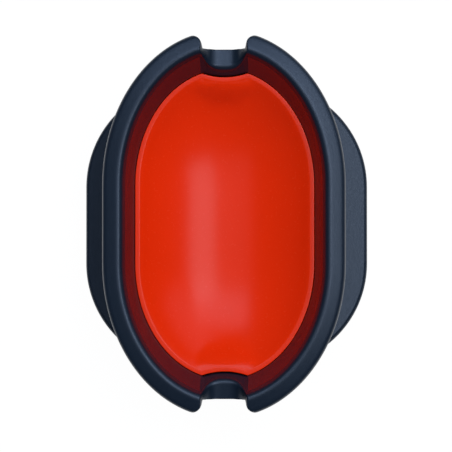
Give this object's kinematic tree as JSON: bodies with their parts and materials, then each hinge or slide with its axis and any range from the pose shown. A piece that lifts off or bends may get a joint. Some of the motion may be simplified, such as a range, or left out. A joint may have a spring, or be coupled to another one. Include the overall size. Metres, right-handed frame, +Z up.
{
  "type": "method feeder mould",
  "caption": "Oval bait mould for a flat fishing feeder: black notched cup on a winged base, with a sprung push-out dish worked by a thumb button underneath.",
  "frame": {"origin": "centre of the footprint, on the surface that the base stands on", "axes": "+Y along the oval from notch to notch, +X towards one finger wing, +Z up out of the open cup"},
  "size_m": [0.0536, 0.0712, 0.028],
  "materials": {
    "black_plastic": "satin",
    "orange_plastic": "semi-gloss",
    "button_plastic": "satin",
    "spring_steel": "bright drawn wire",
    "screw_steel": "zinc plated"
  },
  "bodies": {
    "frame": {"cup_frame": "black_plastic", "grip_base": "black_plastic", "return_spring": "spring_steel", "frame_screws": "screw_steel"},
    "ejector": {"ejector_dish": "orange_plastic", "push_button": "button_plastic", "stem_screw": "screw_steel", "stem_washer": "screw_steel"}
  },
  "joints": [
    {"name": "push_out", "type": "slide", "parent": "frame", "child": "ejector", "axis": [0, 0, 1], "range_m": [0, 0.005], "stiffness_N_per_m": 400, "springref_m": -0.004, "deforming": ["return_spring"]}
  ]
}
